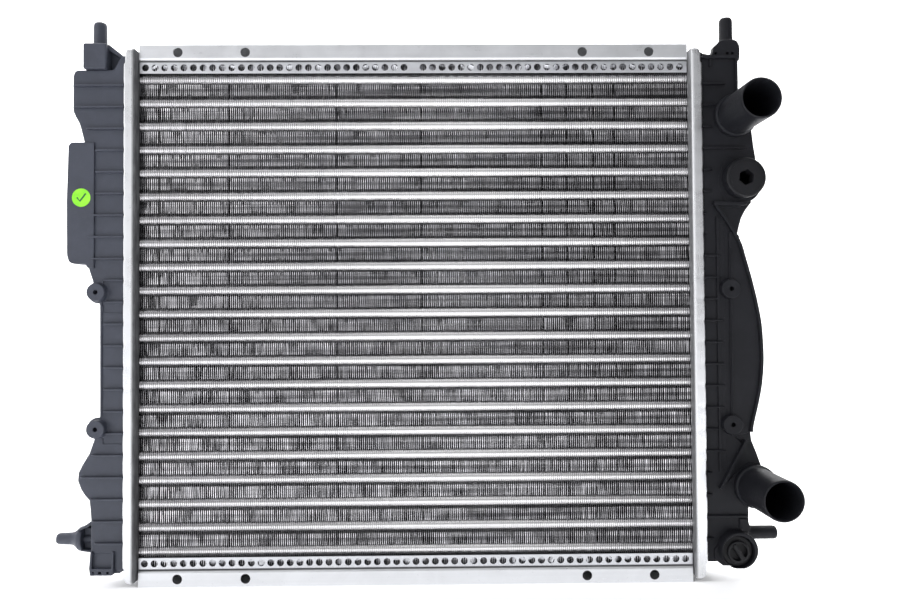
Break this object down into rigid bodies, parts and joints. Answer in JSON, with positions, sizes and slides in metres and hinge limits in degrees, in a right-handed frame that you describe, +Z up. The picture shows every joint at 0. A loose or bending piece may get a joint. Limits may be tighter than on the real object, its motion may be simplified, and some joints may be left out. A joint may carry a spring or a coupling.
{
  "type": "car radiator",
  "caption": "Aluminium car radiator core with round tubes and plate fins, crimped between two moulded plastic side tanks with hose necks, locating pins and a drain plug.",
  "frame": {"origin": "middle of the bottom of the whole radiator's box, on the surface it stands on", "axes": "+Z up, +X across the core towards the tank with the hose necks, -Y the way the hose necks point"},
  "size_m": [0.5664, 0.0886, 0.4446],
  "materials": {
    "tank_plastic_left": "moulded glass-filled plastic, slate grey, fine matt grain",
    "tank_plastic_right": "moulded glass-filled plastic, near black, satin",
    "header_aluminium": "bright pressed sheet with a crimped edge",
    "rubber": "black sealing rubber",
    "plate_aluminium": "mill-finish pressed sheet, light handling marks",
    "strip_aluminium": "mill-finish perforated sheet",
    "tube_aluminium": "drawn round tube, bright",
    "turbulator_plastic": "natural plastic strip",
    "fin_aluminium": "thin plate fins",
    "divider_plastic": "moulded plastic",
    "plug_plastic": "moulded plastic screw plug, satin",
    "drain_plastic": "moulded plastic drain screw, satin",
    "sticker": "bright yellow-green printed label"
  },
  "bodies": {
    "radiator": {"left_tank": "tank_plastic_left", "right_tank": "tank_plastic_right", "left_header_plate": "header_aluminium", "right_header_plate": "header_aluminium", "left_header_gasket": "rubber", "right_header_gasket": "rubber", "top_side_plate": "plate_aluminium", "bottom_side_plate": "plate_aluminium", "top_end_strip": "strip_aluminium", "bottom_end_strip": "strip_aluminium", "front_tube_row": "tube_aluminium", "rear_tube_row": "tube_aluminium", "front_turbulators": "turbulator_plastic", "rear_turbulators": "turbulator_plastic", "fin_pack": "fin_aluminium", "flow_divider": "divider_plastic", "divider_seal": "rubber", "inspection_sticker": "sticker"},
    "blanking_plug_seal": {"blanking_plug_oring": "rubber"},
    "blanking_plug": {"blanking_plug": "plug_plastic"},
    "drain_plug_seal": {"drain_plug_oring": "rubber"},
    "drain_plug": {"drain_plug": "drain_plastic"}
  },
  "joints": [
    {"name": "blanking_plug_travel", "type": "slide", "parent": "radiator", "child": "blanking_plug_seal", "axis": [0, -1, 0], "range_m": [0, 0.0121]},
    {"name": "blanking_plug_turn", "type": "hinge", "parent": "blanking_plug_seal", "child": "blanking_plug", "pos_m": [0.2528, 0.00025, 0.3117], "axis": [0, -1, 0], "range_deg": [0, 2880]},
    {"name": "drain_plug_travel", "type": "slide", "parent": "radiator", "child": "drain_plug_seal", "axis": [0, -1, 0], "range_m": [0, 0.0061]},
    {"name": "drain_plug_turn", "type": "hinge", "parent": "drain_plug_seal", "child": "drain_plug", "pos_m": [0.2437, 0.00325, 0.0264], "axis": [0, -1, 0], "range_deg": [0, 1080]}
  ],
  "couplings": [
    {"joint": "blanking_plug_travel", "follows": "blanking_plug_turn", "m_per_rad": 0.00023873},
    {"joint": "drain_plug_travel", "follows": "drain_plug_turn", "m_per_rad": 0.00031831}
  ]
}
